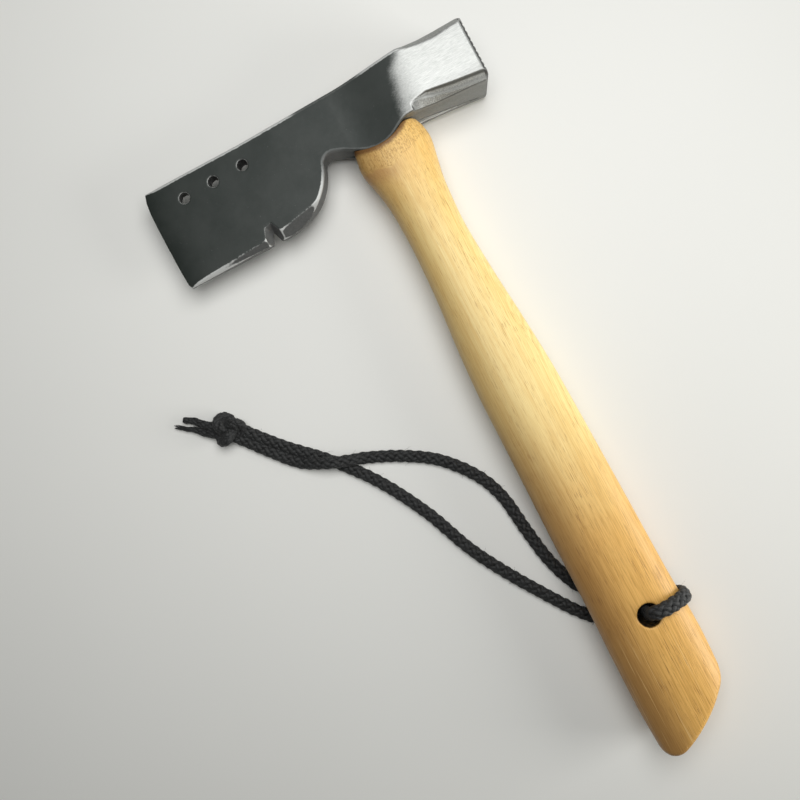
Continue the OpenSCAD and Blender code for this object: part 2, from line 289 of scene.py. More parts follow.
# Along the poll: how far its underside rises towards the sides
LEAN = [
    (9.5, 0), (12, 1.5), (14.5, 2.9), (17, 3.1), (19.5, 2.8), (24, 2.2), (34, 1.2), (43, 0.5),
    (50.5, 0.1),
]


def head_half(x):
    """Half the thickness of the head along the blade, and how fast it grows."""
    out = np.maximum(0, x + BLADE_REACH)
    run = BLADE_REACH + ROOT_X
    missing = EDGE_GAIN * np.exp(-out / EDGE_TAPER)
    wedge = EDGE_HALF + EDGE_GAIN - missing + BODY_GAIN * np.minimum(1, out / run)
    slope = missing / EDGE_TAPER * (out > 0) + BODY_GAIN / run * ((out > 0) & (out < run))
    t = np.clip((x - ROOT_X) / ROOT_LONG, 0, 1)
    blend = ease(t)
    slope = slope * (1 - blend) + (POLL_HALF - wedge) * 6 * t * (1 - t) / ROOT_LONG
    return wedge + (POLL_HALF - wedge) * blend, slope


def lobe_inside(x):
    """Half width of the slot between the lobes, narrower towards the blade."""
    return LOBE_IN - 0.28 * np.maximum(0, -8 - x)


def cheek_outline(x, y):
    """The head's outline together with the lobes that grip the shoulder."""
    lobe = np.hypot(x - LOBE_AT[0], y - LOBE_AT[1]) - LOBE_R
    both = round_or(polygon_distance(x, y, HEAD_OUTLINE), lobe, 2.0)
    return np.maximum(both, y - HEAD_TOP - 0.05 * np.maximum(0, -60 - x))


def underside_lean(x):
    """How far the underside rises towards the sides at a place along the poll."""
    xs, leans = np.array(LEAN).T
    return np.interp(x, xs, leans)


def forging(x, y, az, soft):
    """Blade and poll with the lobes, before anything is cut from them."""
    half, slope = head_half(x)
    side = (az - half) / np.hypot(1, slope)
    rim = np.clip(0.5 * half - 0.15, 0.08, 0.8) * soft
    # the underside of the poll rises towards the sides, and its top does not
    rise = np.clip((az - 1) / 9.5, 0, 1.15) ** 1.2 * (1 - ease(y / 12))
    body = round_and(polygon_distance(x, y - underside_lean(x) * rise, HEAD_OUTLINE), side, rim)
    lobe = round_and(round_and(cheek_outline(x, y), side, rim), lobe_inside(x) - az, 0.4 * soft)
    return np.minimum(body, lobe)


def bevel_plane(az, down, stand_off, spread):
    """Signed distance to a bevel that starts a stand-off from the middle and spreads upwards."""
    return (az - stand_off - spread * down) / math.hypot(1, spread)


def cut_bevels(body, x, y, az, soft):
    """A narrow bevel along the lower edge of the blade and a wide one by the beard."""
    narrow = 0.0297 * (x + 114) + (y - BEVEL_Y)
    body = round_and(body, bevel_plane(az, narrow, stand_off=-0.3, spread=0.78), 0.3 * soft)
    wide = -0.101 * (x + 64) + 0.995 * (y - BEVEL_Y)
    # it runs out at both ends of its stretch
    wide = wide + 3 * np.maximum(0, np.maximum(-64 - x, x + 30))
    return round_and(body, bevel_plane(az, wide, stand_off=0.8, spread=0.8), 0.3 * soft)


def corner_cut(x, down, inward, stations, hollow=0.0):
    """Signed distance to the flat, or the hollow, ground off a long corner of the poll."""
    xs, wides, deeps = np.array(stations).T
    wide, deep = np.interp(x, xs, wides), np.interp(x, xs, deeps)
    across = np.clip(inward / deep, 0, 1)
    bow = hollow * across * (1 - across)
    cut = (1 + bow - down / wide - inward / deep) / np.hypot(1 / wide, 1 / deep)
    # nothing is cut before the first station
    return cut - 5 * np.maximum(0, xs[0] - x)


def cut_corners(body, x, y, az, soft):
    """Flats along the upper corners of the poll and hollows along the lower ones."""
    inward = head_half(x)[0] - az
    upper = corner_cut(x, HEAD_TOP - y, inward, TOP_FLATS)
    fall = UNDERSIDE_FALL / (POLL_REACH - UNDERSIDE_FROM) * np.maximum(0, x - UNDERSIDE_FROM)
    floor = underside_lean(x) - fall
    lower = corner_cut(x, y - floor, inward, LOW_HOLLOWS, 0.9)
    return round_and(round_and(body, upper, 0.35 * soft), lower, 0.3 * soft)


def cut_face(body, x, y, z, soft):
    """Breaks the rim of the striking face and mills crossing grooves into it."""
    past = x - POLL_REACH + FACE_CHAMFER
    side = (past + np.abs(z) - POLL_HALF) / ROOT2
    low = (past - UNDERSIDE_FALL - y) / ROOT2
    top = (past + y - HEAD_TOP) / ROOT2
    body = round_and(body, np.maximum(side, np.maximum(low, top)), 0.25 * soft)
    for across in (z, y - MILL_MIDDLE):
        row = np.clip(np.round(across / MILL_PITCH), -4, 4)
        groove = x - POLL_REACH + MILL_DEPTH - np.abs(across - row * MILL_PITCH)
        body = np.maximum(body, groove / ROOT2)
    return body


def eye_distance(x, z):
    """Signed distance to the outline of the eye: two rounds joined by straight walls."""
    (x0, r0), (x1, r1) = EYE_FRONT, EYE_REAR
    span = x1 - x0
    sine = (r1 - r0) / span
    cosine = math.sqrt(1 - sine ** 2)
    z = np.abs(z)
    walls = (x0 - x) * sine + z * cosine - r0
    front = np.hypot(x - x0, z) - r0
    rear = np.hypot(x - x1, z) - r1
    key = (x - x0) + z * sine / cosine
    return np.where(key < 0, front, np.where(key > span, rear, walls))


def nail_slot(x, y, az):
    """Signed distance to the nail slot, a V whose walls flare towards both sides."""
    near, far = SLOT_FLARE
    t = np.clip((az - near) / (far - near), 0, 1)
    best = np.full(np.broadcast(x, y, az).shape, -1e9)
    for outline in (SLOT_NARROW, SLOT_FLARED):
        for a, b in zip(outline[:-1], outline[1:]):
            n = np.array([-(b - a)[1], (b - a)[0]]) / np.hypot(*(b - a))
            reach = (1 - t) * (SLOT_NARROW @ n).max() + t * (SLOT_FLARED @ n).max()
            best = np.maximum(best, x * n[0] + y * n[1] - reach)
    return best


def cut_openings(body, x, y, z, soft):
    """The eye, the gauge holes and the nail slot."""
    body = round_and(body, -eye_distance(x, z), 0.3 * soft)
    for i in range(3):
        from_hole = np.hypot(x - GAUGE_AT[0] + GAUGE_STEP * i, y - GAUGE_AT[1])
        body = round_and(body, GAUGE_R - from_hole, 0.35 * soft)
    return round_and(body, -nail_slot(x, y, np.abs(z)), 0.3 * soft)


def head_shape(x, y, z, soft=1.0):
    """The head as a distance field. A higher soft rounds its edges more."""
    az = np.abs(z)
    body = forging(x, y, az, soft)
    body = cut_bevels(body, x, y, az, soft)
    body = cut_corners(body, x, y, az, soft)
    body = cut_face(body, x, y, z, soft)
    return cut_openings(body, x, y, z, soft)


def make_head(material):
    # a finer grid at the cutting edge and at the milled face
    fine, coarse = 0.25, 0.5
    xs = np.concatenate([
        np.arange(-BLADE_REACH - 0.75, -107, fine),
        np.arange(-107, 47, coarse),
        np.arange(47, POLL_REACH + 1.1, fine),
    ])
    step = MILL_PITCH / 6
    ys = MILL_MIDDLE + step * np.arange(-82, 41)
    zs = step * np.arange(-36, 37)
    points, faces = surface(head_shape, xs, ys, zs)
    head = make_object("forged_head", points, faces, material)
    # how far rounder edges would stand back from each point, for the painted highlights and wear on
    # the edges
    edge_sharpness = np.clip(head_shape(*points.T, soft=3.0) / 0.35, 0, 1)
    head.data.attributes.new("edge_sharpness", "FLOAT", "POINT").data.foreach_set("value", edge_sharpness)
    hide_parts("head")


# ---------------------------------------------------------------- handle
# Distance below the shoulder, left and right edge, half thickness
HANDLE_STATIONS = [
    (0, -16.3, 14.4, 11.6), (4, -16.9, 16, 12), (9, -17.5, 16.8, 12.2), (13, -17.1, 16.5, 12.1),
    (19, -15.6, 15.4, 11.6), (28, -13.9, 13.8, 10.8), (38, -13.2, 13, 10.4), (52, -13, 12.6, 10.2),
    (75, -13.9, 14, 10.3), (99, -15.9, 16.1, 10.7), (122, -17.1, 17.7, 11.1),
    (144, -17.3, 18.4, 11.3), (166, -17.5, 18.9, 11.4), (195, -17.8, 19.5, 11.5),
    (225, -17.8, 20.1, 11.5), (250, -18.3, 21.2, 11.4), (303.5, -18.4, 21.6, 11.2),
]
HANDLE_TABLE = curve_through(HANDLE_STATIONS, 8)
# The cross-section's power: 2 is an ellipse, and more is squarer
GRIP_POWER = 2.3
BUTT_Y = -HANDLE_LENGTH
BUTT_OUTLINE = np.array(
    [(26, 10), (26, BUTT_Y + 50), (22.8, BUTT_Y + 40)]
    + arc(8, BUTT_Y + 28.6, 13.3, 0, -50, 12)
    + arc(-55.8, BUTT_Y + 94.8, 105, -48, -63.4, 10)
    + arc(-12.8, BUTT_Y + 9, 9, -68, -90, 5)
    + arc(-13, BUTT_Y + 5.2, 5.2, -100, -180, 12)
    + [(-20.5, BUTT_Y + 25), (-26, BUTT_Y + 50), (-26, 10)]
)
LOBE_PLAY = 0.2
TONGUE_PLAY = 0.05
TONGUE_TOP = HEAD_TOP - 0.2
KERF_DEEP = 7.0
# Place along the tongue and half width of the slot of each steel wedge
STEEL_SLOTS = [(-3, 3), (6, 5)]


def tongue_shape(x, y, z):
    """The tongue in the eye, with its kerf and the slots of the steel wedges."""
    az = np.abs(z)
    tongue = np.maximum(eye_distance(x, z) + TONGUE_PLAY, np.maximum(y - TONGUE_TOP, -4 - y))
    deep = TONGUE_TOP - y
    kerf = np.maximum(az - 1.7 + 0.059 * deep, deep - KERF_DEEP)
    tongue = np.maximum(tongue, -kerf)
    for at, wide in STEEL_SLOTS:
        cut = np.maximum(np.abs(x - at) - 1.1 + 0.065 * deep, az - wide)
        tongue = np.maximum(tongue, -np.maximum(cut, deep - KERF_DEEP))
    return tongue


def handle_shape(x, y, z):
    left, right, thick = (np.interp(-y, HANDLE_TABLE[:, 0], HANDLE_TABLE[:, k]) for k in (1, 2, 3))
    dx, dz = x - (left + right) / 2, z + BUTT_LIFT * y / HANDLE_LENGTH
    power = GRIP_POWER
    level = (np.abs(dx) / ((right - left) / 2)) ** power + (np.abs(dz) / thick) ** power
    level = level ** (1 / power)
    oval = np.hypot(dx, dz) * (1 - 1 / np.maximum(level, 1e-3))
    body = round_and(oval, polygon_distance(x, y, BUTT_OUTLINE), 2.2)
    # the shoulder ends at y = 0 and is notched for the lobes of the head
    body = round_and(body, y, 0.8)
    lobe = np.maximum(cheek_outline(x, y) - LOBE_PLAY, lobe_inside(x) - LOBE_PLAY - np.abs(z))
    body = round_and(body, -lobe, 0.5)
    body = np.minimum(body, tongue_shape(x, y, z))
    hole = HOLE_R - np.hypot(x - HOLE_AT[0], y - HOLE_AT[1])
    return round_and(body, hole, 0.9)


def make_handle(material):
    step = 0.6
    xs = np.arange(-19.2, 22.3, step)
    ys = np.arange(-295.2, 28.5, step)
    zs = np.arange(-13.2, 14.1, step)
    points, faces = surface(handle_shape, xs, ys, zs)
    handle = make_object("hickory_handle", points, faces, material)
    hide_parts("handle")


# ---------------------------------------------------------------- lanyard
# From the knot along the table, under the handle, round it and into the hole from above.
# Measured in metres from the handle's axis and shoulder, with heights from the table.
FIRST_RUN = [
    (-0.1215, -0.083, 0.003), (-0.1065, -0.1, 0.0018), (-0.09, -0.116, 0.0018),
    (-0.0745, -0.135, 0.0018), (-0.0615, -0.1575, 0.0018), (-0.0505, -0.183, 0.0018),
    (-0.034, -0.2095, 0.0018), (-0.016, -0.2325, 0.0018), (0.001, -0.238, 0.0018),
    (0.016, -0.2368, 0.0044), (0.021, -0.2362, 0.009), (0.0225, -0.2356, 0.0153),
    (0.021, -0.235, 0.0216), (0.0155, -0.2346, 0.0264), (0.0095, -0.2343, 0.0286),
    (0.0052, -0.234, 0.028), (0.0035, -0.234, 0.0245), (0.0034, -0.234, 0.014),
]
# From the middle of the hole down, along the table and over the first run to the knot
SECOND_RUN = [
    (0.0034, -0.234, 0.014), (0.0034, -0.234, 0.0065), (0.002, -0.233, 0.0028),
    (-0.003, -0.2295, 0.0018), (-0.01, -0.2235, 0.0018), (-0.017, -0.2155, 0.0018),
    (-0.0225, -0.201, 0.0018), (-0.0255, -0.184, 0.0018), (-0.028, -0.166, 0.0018),
    (-0.034, -0.152, 0.0018), (-0.0455, -0.1385, 0.0018), (-0.059, -0.1295, 0.0018),
    (-0.074, -0.1225, 0.0018), (-0.082, -0.1198, 0.0042), (-0.089, -0.1172, 0.0058),
    (-0.096, -0.1142, 0.0046), (-0.104, -0.1095, 0.0018), (-0.1125, -0.1003, 0.0018),
    (-0.1215, -0.0896, 0.0018), (-0.1245, -0.086, 0.003),
]
# From inside the knot to the two cut ends
BLUNT_TAIL = [
    (-0.129, -0.079, 0.0042), (-0.1345, -0.0748, 0.0026), (-0.139, -0.0703, 0.0021),
    (-0.1428, -0.0677, 0.0019),
]
FRAYED_TAIL = [
    (-0.130, -0.082, 0.004), (-0.136, -0.078, 0.0023), (-0.1412, -0.0735, 0.0019),
    (-0.1477, -0.0689, 0.0016),
]
# Half width and half thickness of one strand of the braid
STRAND = (1.12, 0.7)


def distances_along(line):
    """How far along the line each of its points lies."""
    return np.concatenate([[0], np.cumsum(np.linalg.norm(np.diff(line, axis=0), axis=1))])


def spaced(route, gap=0.45):
    """The smooth line through route points in metres, in design millimetres at equal steps."""
    line = curve_through(np.array(route) / MM - np.array([0, 0, ZERO[2]]), 16)
    run = distances_along(line)
    at = np.linspace(0, run[-1], int(run[-1] / gap) + 2)
    return np.stack([np.interp(at, run, line[:, k]) for k in range(3)], 1)


def frames_along(line):
    """The way along the line and a side that turns back to level where the line allows it."""
    ahead = unit(np.gradient(line, axis=0))
    side = unit(np.cross([0, 0, 1.0], ahead[0]))
    sides = []
    for t in ahead:
        flat = np.cross([0, 0, 1.0], t)
        level = np.linalg.norm(flat) ** 4
        flat = flat if flat @ side > 0 else -flat
        side = unit(side - (side @ t) * t)
        side = unit(side + 0.06 * level * unit(flat))
        side = unit(side - (side @ t) * t)
        sides.append(side)
    return ahead, np.array(sides)


def braid(line, wide=CORD_WIDE, thin=CORD_THIN, pitch=17.0, scale=1.0, loose=0.0):
    """Eight strands plaited round a flat oval. scale may change along the line."""
    ahead, side = frames_along(line)
    up = np.cross(ahead, side)
    scale = np.broadcast_to(scale, len(line))
    run = distances_along(line)
    half_wide, half_thin = (wide / 2 - 0.85) * scale, (thin / 2 - 0.8) * scale
    rng = np.random.default_rng(5)
    parts = []
    for way in (1, -1):
        for k in range(4):
            angle = way * 2 * np.pi * run / pitch + np.pi / 2 * k
            c, s = np.cos(angle), np.sin(angle)
            nx, nz = c / np.maximum(half_wide, 0.1), s / np.maximum(half_thin, 0.1)
            length = np.hypot(nx, nz)
            nx, nz = nx / length, nz / length
            out = nx[:, None] * side + nz[:, None] * up
            centre = line + (c * half_wide)[:, None] * side + (s * half_thin)[:, None] * up
            # over and under the strands that go the other way
            weave = way * 0.32 * np.cos(4 * angle) * scale
            centre = centre + weave[:, None] * out
            if loose:
                drift = rng.normal(0, 1, 3) * loose
                centre = centre + drift * ((run / run[-1]) ** 3)[:, None]
            along = unit(np.gradient(centre, axis=0))
            out = unit(out - (out * along).sum(1, keepdims=True) * along)
            across = np.cross(along, out)
            fat = (scale * (1 + 0.06 * np.sin(run * 1.3 + k)))[:, None]
            parts.append(sweep(centre, across * STRAND[0] * fat, out * STRAND[1] * fat, 8))
    return join(parts)


def cord_piece(name, points, faces, material, node):
    """A piece of cord, kept above the table, in place of a CAD node."""
    points[:, 2] = np.maximum(points[:, 2], TABLE_GAP - ZERO[2])
    piece = make_object(name, points, faces, material)
    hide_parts(node)
    return piece


def make_run(name, route, material):
    line = spaced(route)
    # pressed a little wider where it lies over the handle
    fat = 1 + 0.12 * ease((line[:, 2] - 2) / 6)
    points, faces = braid(line, scale=fat)
    return cord_piece(name, points, faces, material, "lanyard_cord"), line


def knot_line(size):
    """An overhand knot drawn tight, as a line in design millimetres that ends where it starts."""
    middle = np.array([-125.2, -81.4, 4.9 - ZERO[2]])
    turn = math.radians(68)
    t = np.linspace(0, 2 * np.pi, 130)[:-1]
    u = (np.sin(t) + 2 * np.sin(2 * t)) * size
    v = (np.cos(t) - 2 * np.cos(2 * t)) * size
    x = (u * math.cos(turn) - v * math.sin(turn)) * 1.05
    y = u * math.sin(turn) + v * math.cos(turn)
    z = -2.2 * np.sin(3 * t)
    line = np.stack([x, y, z], 1) + middle
    return np.concatenate([line, line[:1]])


def make_knot(material):
    """Both ends of the cord go round the knot side by side, so it is tied twice over."""
    parts = []
    for size, wide, pitch in ((2.15, 4.2, 11), (1.3, 4.0, 9)):
        parts.append(braid(knot_line(size), wide=wide, thin=3.9, pitch=pitch))
    points, faces = join(parts)
    return cord_piece("overhand_knot", points, faces, material, "lanyard_knot")


def make_tails(material):
    made = []
    for name, route, taper, loose in (
        ("tail_blunt", BLUNT_TAIL, 0.62, 0.15),
        ("tail_frayed", FRAYED_TAIL, 0.18, 0.5),
    ):
        line = spaced(route)
        scale = 1 - (1 - taper) * np.linspace(0, 1, len(line)) ** 1.5
        points, faces = braid(line, wide=4.4, thin=3.0, scale=scale, loose=loose)
        made.append(cord_piece(name, points, faces, material, "lanyard_tails"))
    return made


def make_fibres(lines, material):
    """Stray fibres that stand off the plait."""
    rng = np.random.default_rng(11)
    steps = 7
    t = np.linspace(0, 1, steps)[:, None]
    thin = np.linspace(0.06, 0.02, steps)[:, None]
    parts = []
    for line in lines:
        for at in rng.integers(12, len(line) - 30, len(line) // 9):
            ahead = unit(line[at + 4] - line[at])
            aside = unit(np.cross(ahead, rng.normal(0, 1, 3)))
            aside[2] = abs(aside[2]) * 0.4
            length = rng.uniform(2.0, 5.5)
            bend = rng.normal(0, 1, 3) * 0.5
            spot = line[at] + aside * (1.2 + t * length * 0.7)
            spot = spot + ahead * t * length * rng.uniform(-1, 1) + bend * t ** 2
            spot[:, 2] = np.maximum(spot[:, 2], 0.1 - ZERO[2])
            way = unit(np.gradient(spot, axis=0))
            u = unit(np.cross(way, [0.3, 0.2, 1.0]))
            parts.append(sweep(spot, u * thin, np.cross(way, u) * thin, 4))
    points, faces = join(parts)
    fibres = make_object("stray_fibres", points, faces, material)


def make_lanyard(material):
    """Two runs of cord that meet in the hole, with the knot and the tails that they carry."""
    first, first_line = make_run("lanyard_over", FIRST_RUN, material)
    second, second_line = make_run("lanyard_under", SECOND_RUN, material)
    knot = make_knot(material)
    tails = make_tails(material)
    make_fibres([first_line, second_line], material)


# ---------------------------------------------------------------- materials
class Shader:
    """Builds a material from short calls; each returns an output socket."""

    def __init__(self, name):
        self.material = bpy.data.materials.new(name)
        self.material.use_nodes = True
        self.nodes = self.material.node_tree.nodes
        self.links = self.material.node_tree.links
        self.bsdf = self.nodes["Principled BSDF"]
        coords = self.nodes.new("ShaderNodeTexCoord").outputs["Object"]
        # places on the object in design millimetres
        self.place = self.mapping(coords, (1 / MM,) * 3, tuple(-ZERO))
        split = self.nodes.new("ShaderNodeSeparateXYZ")
        self.links.new(self.place, split.inputs[0])
        self.x, self.y, self.z = split.outputs

    def put(self, socket, value):
        if isinstance(value, bpy.types.NodeSocket):
            self.links.new(value, socket)
        else:
            socket.default_value = value

    def set(self, name, value):
        """One input of the surface."""
        self.put(self.bsdf.inputs[name], value)

    def mapping(self, vector, scale, shift=(0, 0, 0)):
        node = self.nodes.new("ShaderNodeMapping")
        self.links.new(vector, node.inputs["Vector"])
        node.inputs["Scale"].default_value = scale
        node.inputs["Location"].default_value = shift
        return node.outputs[0]

    def math(self, kind, a, b=0.0):
        node = self.nodes.new("ShaderNodeMath")
        node.operation = kind
        self.put(node.inputs[0], a)
        self.put(node.inputs[1], b)
        return node.outputs[0]

    def times(self, first, *others):
        for other in others:
            first = self.math("MULTIPLY", first, other)
        return first

    def plus(self, first, *others):
        for other in others:
            first = self.math("ADD", first, other)
        return first

    def rest(self, part):
        """What is left of 1."""
        return self.math("SUBTRACT", 1.0, part)

    def sway(self, width, value):
        """A noise value made to swing round zero, by half the width either way."""
        return self.times(self.plus(value, -0.5), width)

    def distance_from(self, spot):
        """Distance from a line across the tool through a spot."""
        dx = self.plus(self.x, -spot[0])
        dy = self.plus(self.y, -spot[1])
        return self.math("POWER", self.plus(self.times(dx, dx), self.times(dy, dy)), 0.5)

    def ramp(self, value, start, end):
        """0 before start, 1 after end, smooth between. start may be above end."""
        node = self.nodes.new("ShaderNodeMapRange")
        node.interpolation_type = "SMOOTHSTEP"
        low, high, a, b = (start, end, 0, 1) if start < end else (end, start, 1, 0)
        self.put(node.inputs["Value"], value)
        node.inputs["From Min"].default_value = low
        node.inputs["From Max"].default_value = high
        node.inputs["To Min"].default_value = a
        node.inputs["To Max"].default_value = b
        return node.outputs[0]

    def noise(self, scale, detail=3.0, rough=0.5, stretch=(1, 1, 1), warp=0.0):
        """Noise whose scale is in cycles a millimetre, stretched along an axis."""
        node = self.nodes.new("ShaderNodeTexNoise")
        scales = tuple(scale / s for s in stretch)
        self.links.new(self.mapping(self.place, scales), node.inputs["Vector"])
        node.inputs["Scale"].default_value = 1.0
        node.inputs["Detail"].default_value = detail
        node.inputs["Roughness"].default_value = rough
        node.inputs["Distortion"].default_value = warp
        return node.outputs["Fac"]

    def rings(self, depth):
        """Noise along one number, as the years of a tree are."""
        node = self.nodes.new("ShaderNodeTexNoise")
        node.noise_dimensions = "1D"
        self.links.new(depth, node.inputs["W"])
        node.inputs["Detail"].default_value = 2.0
        return node.outputs["Fac"]

    def mix(self, factor, a, b):
        """A colour between a and b."""
        node = self.nodes.new("ShaderNodeMix")
        node.data_type = "RGBA"
        self.put(node.inputs[0], factor)
        for socket, value in ((node.inputs[6], a), (node.inputs[7], b)):
            self.put(socket, value if isinstance(value, bpy.types.NodeSocket) else (*value, 1))
        return node.outputs[2]

    def blend(self, factor, a, b):
        """A number between a and b."""
        node = self.nodes.new("ShaderNodeMix")
        self.put(node.inputs[0], factor)
        self.put(node.inputs[2], a)
        self.put(node.inputs[3], b)
        return node.outputs[0]

    def bump(self, height, strength, depth):
        node = self.nodes.new("ShaderNodeBump")
        node.inputs["Strength"].default_value = strength
        node.inputs["Distance"].default_value = depth * MM
        self.links.new(height, node.inputs["Height"])
        self.links.new(node.outputs[0], self.bsdf.inputs["Normal"])

    def sideways(self):
        """How squarely the surface faces either side of the tool, 0 to 1."""
        split = self.nodes.new("ShaderNodeSeparateXYZ")
        self.links.new(self.nodes.new("ShaderNodeNewGeometry").outputs["Normal"], split.inputs[0])
        return self.math("ABSOLUTE", split.outputs[2])

    def carried(self, name):
        """A number that the mesh carries at each of its points."""
        node = self.nodes.new("ShaderNodeAttribute")
        node.attribute_name = name
        return node.outputs["Fac"]


# light steel, used for painted highlights and for the wear on edges
BARE_STEEL_AND_HIGHLIGHT = (0.62, 0.63, 0.61)


def poll_zone(m):
    """1 on the ground poll, which starts at a slanting, soft and grainy line."""
    line = m.plus(m.times(m.y, -0.2), m.x)
    line = m.math("SUBTRACT", line, m.times(m.ramp(m.y, 18, 28), 5.0))
    ragged = m.sway(3.0, m.noise(0.25, 4, 0.6))
    fine = m.sway(5.0, m.noise(2.2, 5, 0.8, (3, 1, 1)))
    return m.ramp(m.plus(line, ragged, fine), 6.5, 13.0)


def blade_colour(m, square):
    """Dark forged steel with specks and scratches, and lighter, coarser bevels."""
    blotches = m.ramp(m.noise(0.05, 4, 0.6), 0.3, 0.7)
    specks = m.ramp(m.noise(1.1, 3, 0.6), 0.70, 0.76)
    scratch = m.ramp(m.noise(3.0, 2, 0.5, (9, 0.6, 1), 0.5), 0.72, 0.80)
    colour = m.mix(blotches, (0.019, 0.025, 0.0215), (0.032, 0.038, 0.034))
    colour = m.mix(m.times(specks, 0.6), colour, (0.16, 0.165, 0.16))
    colour = m.mix(m.times(scratch, 0.42), colour, (0.13, 0.135, 0.13))
    bevels = m.times(m.ramp(m.x, -18, -24), m.ramp(square, 0.95, 0.85), m.ramp(m.x, -109.5, -106))
    coarse = m.mix(m.noise(0.9, 5, 0.75), (0.05, 0.052, 0.05), (0.13, 0.132, 0.128))
    return m.mix(bevels, colour, coarse)


def flank_colour(m, base, flanks, low_part, square):
    """Grey top and underside of the poll, with painted shade on the upper part of the hollow and a
    painted highlight on its lower part.
    """
    grey = m.mix(m.ramp(m.noise(1.1, 4, 0.7), 0.3, 0.7), (0.22, 0.225, 0.217), (0.28, 0.285, 0.275))
    base = m.mix(flanks, base, grey)
    # painted shade along the upper part of the hollow, under the top edge
    shade = m.times(flanks, m.ramp(square, 0.26, 0.36), low_part)
    base = m.mix(m.times(shade, 0.7), base, (0.09, 0.092, 0.088))
    # a speckled painted highlight on the lower, upward-facing part of the hollow
    sparkle = m.blend(m.ramp(m.noise(2.2, 4, 0.8), 0.4, 0.62), 0.35, 0.9)
    lit = m.times(flanks, m.ramp(square, 0.5, 0.66), m.ramp(m.x, 14, 19), sparkle)
    return m.mix(lit, base, BARE_STEEL_AND_HIGHLIGHT)


def edge_glint_and_wear(m):
    """Painted highlights, with some wear, on the edges behind the blade and round the neck of the
    poll, nearly none elsewhere.
    """
    glinting_worn_edge = m.plus(m.carried("edge_sharpness"), m.times(m.noise(0.8, 4, 0.7), 0.7))
    neck = m.times(m.ramp(m.x, -3, 4), m.ramp(m.y, 1, 5))
    glint_and_wear_places = m.math("MAXIMUM", m.ramp(m.x, -30, -36), neck)
    return m.times(m.ramp(glinting_worn_edge, 0.95, 1.3), 0.8, m.blend(glint_and_wear_places, 0.12, 1.0))


def steel_material():
    m = Shader("forged_steel")
    square = m.sideways()
    low_part = m.ramp(m.y, 8, 4)
    # 1 on the sides of the head, 0 on its top, underside and face
    side = m.blend(low_part, m.ramp(square, 0.75, 0.93), m.ramp(square, 0.68, 0.84))
    poll = poll_zone(m)
    bright = m.times(poll, side)
    flanks = m.times(m.ramp(m.x, 8, 12), m.rest(side))
    face_rim = m.times(m.ramp(m.x, 47.9, 48.3), m.rest(side))
    grain = m.noise(5.0, 4, 0.7, (14, 1, 1))
    ground = m.mix(m.ramp(grain, 0.25, 0.75), (0.33, 0.34, 0.325), (0.60, 0.61, 0.59))
    base = m.mix(bright, blade_colour(m, square), ground)
    base = flank_colour(m, base, flanks, low_part, square)
    base = m.mix(face_rim, base, (0.10, 0.10, 0.098))
    # painted highlights and wear on the edges
    base = m.mix(edge_glint_and_wear(m), base, BARE_STEEL_AND_HIGHLIGHT)
    m.set("Base Color", base)
    shine = m.blend(poll, 0.25, 0.9)
    side_shine = m.blend(m.ramp(m.y, 7, 2), 0.6, 0.3)
    m.set("Metallic", m.blend(bright, shine, side_shine))
    rough_blade = m.blend(m.noise(0.6, 4, 0.6), 0.42, 0.56)
    rough = m.blend(poll, rough_blade, m.blend(grain, 0.3, 0.5))
    m.set("Roughness", m.blend(flanks, rough, 0.6))
    hammered = m.times(m.noise(0.12, 3, 0.5), 3.0)
    m.bump(m.plus(m.times(grain, poll), hammered), 0.25, 0.12)
    return m.material


def wood_base(m, light, dark, fleck):
    """Straight-grained wood: its colour, and where its fibres and its pores are."""
    # the distance from the heart of the tree, which lies off to one side, wanders along the fibres
    off = m.sway(16.0, m.noise(0.03, 3, 0.5, (1, 8, 1)))
    depth = m.plus(m.x, m.times(m.z, 0.45), off)
    years = m.rings(m.times(depth, 0.55))
    fibre = m.noise(2.2, 4, 0.65, (1, 40, 1))
    streak = m.noise(0.45, 3, 0.6, (1, 40, 1))
    tone = m.plus(m.times(years, 0.35), m.times(fibre, 0.35), m.times(streak, 0.3))
    colour = m.mix(m.ramp(tone, 0.38, 0.64), light, dark)
    pores = m.ramp(m.noise(3.6, 2, 0.5, (1, 26, 1)), 0.58, 0.68)
    patches = m.ramp(m.noise(0.11, 3, 0.6, (1, 3, 1)), 0.35, 0.65)
    pores = m.times(pores, m.blend(patches, 0.25, 0.75))
    return m.mix(pores, colour, fleck), fibre, pores


def grip_colour(m, colour, fibre, pores):
    """Darker and warmer towards the butt as painted shade, warmer at the shoulder, and painted shade
    down the left side.
    """
    down = m.plus(m.y, m.sway(40.0, m.noise(0.05, 3, 0.6)))
    # painted shade: darker, warmer wood towards the butt
    shade_towards_butt = m.blend(m.ramp(down, -125, -215), 0.0, 0.9)
    towards_shoulder = m.times(m.ramp(down, -60, -5), 0.55)
    # this tan gives the painted shade towards the butt and the shoulder's own warmer tone
    tan_and_shade = m.mix(m.ramp(fibre, 0.35, 0.7), (0.80, 0.44, 0.11), (0.56, 0.28, 0.05))
    tan_and_shade = m.mix(pores, tan_and_shade, (0.25, 0.11, 0.025))
    colour = m.mix(m.math("MAXIMUM", shade_towards_butt, towards_shoulder), colour, tan_and_shade)
    # painted shade down the left side of the lower handle
    left = m.times(m.ramp(m.x, 3, -15), m.blend(m.ramp(down, -110, -190), 0.45, 0.66))
    colour = m.mix(left, colour, (0.25, 0.12, 0.045))
    # light scratches along the grain near the butt
    lines = m.ramp(m.noise(1.3, 2, 0.5, (1, 70, 1)), 0.62, 0.68)
    lines = m.times(lines, m.ramp(m.y, -232, -258), 0.6)
    return m.mix(lines, colour, (0.86, 0.58, 0.24))


